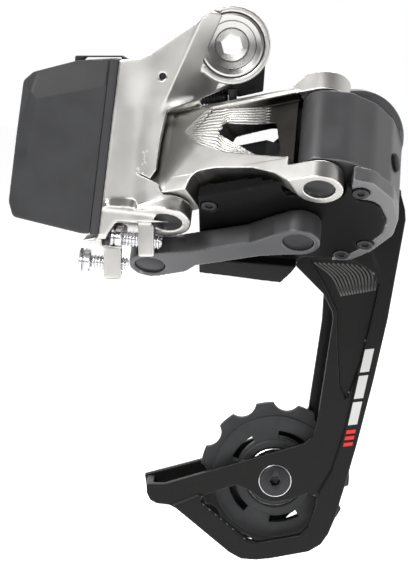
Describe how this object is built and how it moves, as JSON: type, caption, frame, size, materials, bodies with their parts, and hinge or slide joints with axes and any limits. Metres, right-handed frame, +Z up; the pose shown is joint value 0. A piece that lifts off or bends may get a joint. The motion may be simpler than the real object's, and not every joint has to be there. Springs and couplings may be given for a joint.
{
  "type": "rear bicycle derailleur",
  "caption": "Electronic rear derailleur: slant parallelogram with motor gearbox, clip-on battery, sprung pulley cage and hollow hanger bolt.",
  "frame": {"origin": "on the hanger bolt axis, in the plane of the B-stop plate face that seats on the frame hanger", "axes": "+X forward along the bike, +Y inboard along the hanger bolt away from a viewer on the drive side, +Z up"},
  "size_m": [0.1045, 0.0541, 0.1515],
  "materials": {
    "silver_aluminium": "satin, bead blasted and clear anodised",
    "bright_aluminium": "turned, clear anodised",
    "graphite_knuckle": "satin dark grey",
    "graphite_ring": "satin mid grey",
    "graphite_link": "satin dark grey",
    "black_anodised": "satin black",
    "black_plastic": "fine moulded grain",
    "battery_plastic": "fine moulded grain",
    "battery_base_plastic": "fine moulded grain",
    "carbon": "carbon fibre under satin lacquer",
    "pulley_plastic": "filled nylon",
    "dark_steel": "black oxide",
    "steel": "ground",
    "bright_steel": "bright plated",
    "dry_bush": "self-lubricating polymer",
    "rubber_seal": "moulded",
    "gold_contact": "gold plated",
    "cell_foil": "laminated foil",
    "acetal": "moulded acetal",
    "board": "solder resist",
    "pale_film": "printed film under lacquer",
    "red_film": "printed film under lacquer",
    "lens": "clear light pipe",
    "ceramic": "polished ceramic"
  },
  "bodies": {
    "b_knuckle": {"b_knuckle": "silver_aluminium", "hanger_bush": "dry_bush", "hanger_seal": "rubber_seal", "rear_link_pin": "dark_steel", "inner_rear_bush": "dry_bush", "grub_screw": "dark_steel", "contact_block": "black_plastic", "contact_pins": "gold_contact", "latch_pin": "steel"},
    "hanger_bolt": {"hanger_bolt": "bright_aluminium"},
    "b_stop": {"b_stop_plate": "black_anodised"},
    "b_screw": {"b_tension_screw": "dark_steel"},
    "high_screw": {"high_limit_screw": "bright_steel"},
    "low_screw": {"low_limit_screw": "bright_steel"},
    "battery": {"battery_cover": "battery_plastic", "battery_base": "battery_base_plastic", "battery_cell": "cell_foil", "battery_contacts": "gold_contact"},
    "latch": {"battery_latch": "battery_base_plastic"},
    "outer_link": {"outer_link": "silver_aluminium", "outer_link_bushes": "dry_bush", "front_link_pin": "dark_steel"},
    "inner_link": {"inner_link": "graphite_link", "inner_rear_pin": "dark_steel", "inner_front_pin": "dark_steel", "drive_sector": "steel"},
    "p_knuckle": {"p_knuckle": "graphite_knuckle", "knuckle_ring": "graphite_ring", "gearbox_housing": "black_plastic", "gearbox_cover": "black_plastic", "cover_screws": "dark_steel", "motor": "steel", "control_board": "board", "status_led": "lens", "button_switch": "black_plastic", "front_pin_bushes": "dry_bush", "inner_front_bush": "dry_bush", "cage_pivot_bush": "dry_bush", "cage_spring": "dark_steel", "idler_pin": "steel"},
    "idler": {"idler_gear": "acetal"},
    "pinion": {"motor_pinion": "steel"},
    "button": {"function_button": "black_plastic"},
    "cage": {"cage_outer_plate": "carbon", "cage_stripes": "pale_film", "cage_accent": "red_film", "cage_inner_plate": "carbon", "cage_axle": "black_anodised", "pulley_bolts": "black_anodised", "bearing_inner_races": "steel"},
    "upper_wheel": {"upper_pulley": "pulley_plastic", "upper_bearing_outer": "dark_steel", "upper_bearing_balls": "ceramic", "upper_bearing_seals": "rubber_seal"},
    "lower_wheel": {"lower_pulley": "pulley_plastic", "lower_bearing_outer": "dark_steel", "lower_bearing_balls": "ceramic", "lower_bearing_seals": "rubber_seal"}
  },
  "joints": [
    {"name": "outer_link_hinge", "type": "hinge", "parent": "b_knuckle", "child": "outer_link", "pos_m": [-0.01694, -0.02, -0.04551], "axis": [0.0894, 0.6132, 0.7849], "range_deg": [0, 50]},
    {"name": "inner_link_hinge", "type": "hinge", "parent": "b_knuckle", "child": "inner_link", "pos_m": [-0.02122, -0.00755, -0.05475], "axis": [0.0894, 0.6132, 0.7849], "range_deg": [0, 50]},
    {"name": "p_knuckle_hinge", "type": "hinge", "parent": "outer_link", "child": "p_knuckle", "pos_m": [0.0216, -0.03553, -0.03777], "axis": [0.0894, 0.6132, 0.7849], "range_deg": [-50, 0]},
    {"name": "idler_spin", "type": "hinge", "parent": "p_knuckle", "child": "idler", "pos_m": [0.00923, -0.01498, -0.04477], "axis": [0.0894, 0.6132, 0.7849], "range_deg": [-120, 0]},
    {"name": "motor_spin", "type": "hinge", "parent": "p_knuckle", "child": "pinion", "pos_m": [0.00193, -0.01335, -0.04521], "axis": [0.0894, 0.6132, 0.7849], "range_deg": [0, 240]},
    {"name": "cage_hinge", "type": "hinge", "parent": "p_knuckle", "child": "cage", "pos_m": [0.0328, 0, -0.0238], "axis": [0, -1, 0], "range_deg": [0, 100], "stiffness_Nm_per_rad": 0.25, "springref_deg": -45.84},
    {"name": "upper_pulley_spin", "type": "hinge", "parent": "cage", "child": "upper_wheel", "pos_m": [0.0255, 0.009, -0.0415], "axis": [0, -1, 0], "continuous": true},
    {"name": "lower_pulley_spin", "type": "hinge", "parent": "cage", "child": "lower_wheel", "pos_m": [0.0121, 0.009, -0.1191], "axis": [0, -1, 0], "continuous": true},
    {"name": "hanger_bolt_turn", "type": "hinge", "parent": "b_knuckle", "child": "hanger_bolt", "pos_m": [0, 0, 0], "axis": [0, -1, 0], "continuous": true},
    {"name": "b_stop_hinge", "type": "hinge", "parent": "b_knuckle", "child": "b_stop", "pos_m": [0, -0.0015, 0], "axis": [0, -1, 0], "range_deg": [-3, 8]},
    {"name": "b_screw_slide", "type": "slide", "parent": "b_knuckle", "child": "b_screw", "axis": [1, 0, 0], "range_m": [-0.00085, 0.0022]},
    {"name": "high_screw_turn", "type": "hinge", "parent": "b_knuckle", "child": "high_screw", "pos_m": [-0.0314, -0.018, -0.0493], "axis": [0.9945, 0, -0.1045], "continuous": true},
    {"name": "low_screw_turn", "type": "hinge", "parent": "b_knuckle", "child": "low_screw", "pos_m": [-0.0396, -0.018, -0.0554], "axis": [0.9945, 0, -0.1045], "continuous": true},
    {"name": "battery_slide", "type": "slide", "parent": "b_knuckle", "child": "battery", "axis": [-0.992, 0, 0.1259], "range_m": [0, 0.012]},
    {"name": "latch_hinge", "type": "hinge", "parent": "b_knuckle", "child": "latch", "pos_m": [-0.0267, -0.0125, -0.0058], "axis": [0, 1, 0], "range_deg": [0, 82]},
    {"name": "button_press", "type": "slide", "parent": "p_knuckle", "child": "button", "axis": [-0.9235, 0.3462, -0.1653], "range_m": [0, 0.0008], "stiffness_N_per_m": 300, "springref_m": -0.001}
  ],
  "couplings": [
    {"joint": "inner_link_hinge", "follows": "outer_link_hinge", "ratio": 1},
    {"joint": "p_knuckle_hinge", "follows": "outer_link_hinge", "ratio": -1},
    {"joint": "idler_spin", "follows": "outer_link_hinge", "ratio": -2.3333},
    {"joint": "motor_spin", "follows": "outer_link_hinge", "ratio": 4.6667},
    {"joint": "b_screw_slide", "follows": "b_stop_hinge", "m_per_rad": 0.0139},
    {"joint": "latch_hinge", "follows": "battery_slide", "rad_per_m": 116.4}
  ]
}
